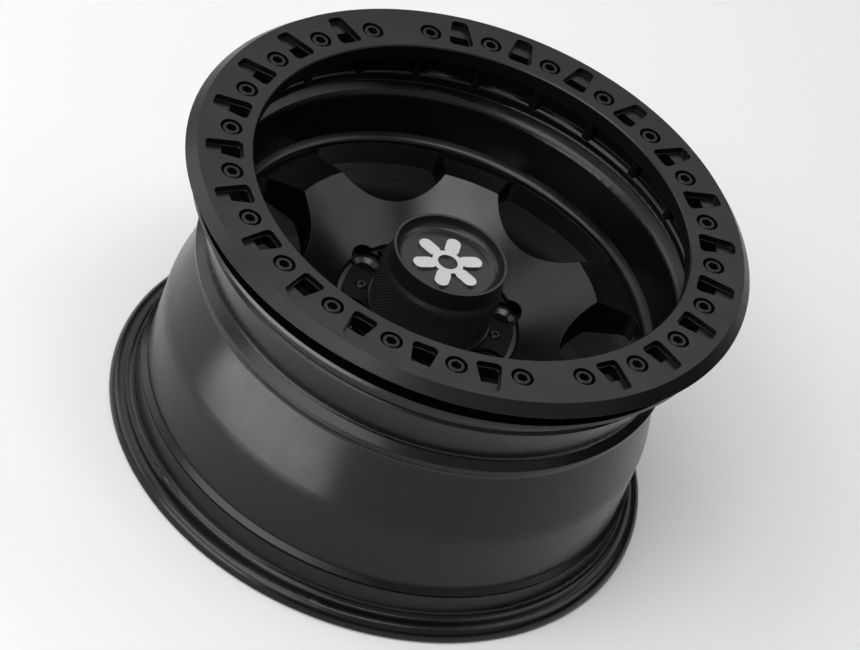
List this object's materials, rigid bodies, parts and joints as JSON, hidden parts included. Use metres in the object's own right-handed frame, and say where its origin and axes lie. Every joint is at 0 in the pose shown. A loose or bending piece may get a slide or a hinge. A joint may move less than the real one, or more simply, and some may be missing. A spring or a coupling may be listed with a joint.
{
  "type": "beadlock wheel",
  "caption": "Deep-dish off-road beadlock wheel: cast spoked rim, bolted clamping ring for the outer tyre bead and a knurled screw-on hub cap over the lug holes.",
  "frame": {"origin": "centre of the rear lip's plane, on the wheel's axis, where the wheel lies on a floor", "axes": "+Z along the wheel's axis towards its outer face; +X through the valve hole and the middle of a window"},
  "size_m": [0.4801, 0.4802, 0.281],
  "materials": {
    "rim_black": "satin black powder coat on cast aluminium",
    "ring_black": "satin black powder coat on machined aluminium",
    "bolt_black": "black oxide steel",
    "cap_black": "satin black anodised aluminium",
    "badge_silver": "satin silver"
  },
  "bodies": {
    "root": {"rim": "rim_black", "beadlock_ring": "ring_black", "ring_bolts": "bolt_black", "cap_plate": "cap_black", "hub_cap": "cap_black", "cap_badge": "badge_silver", "cap_screws": "bolt_black"}
  },
  "joints": []
}
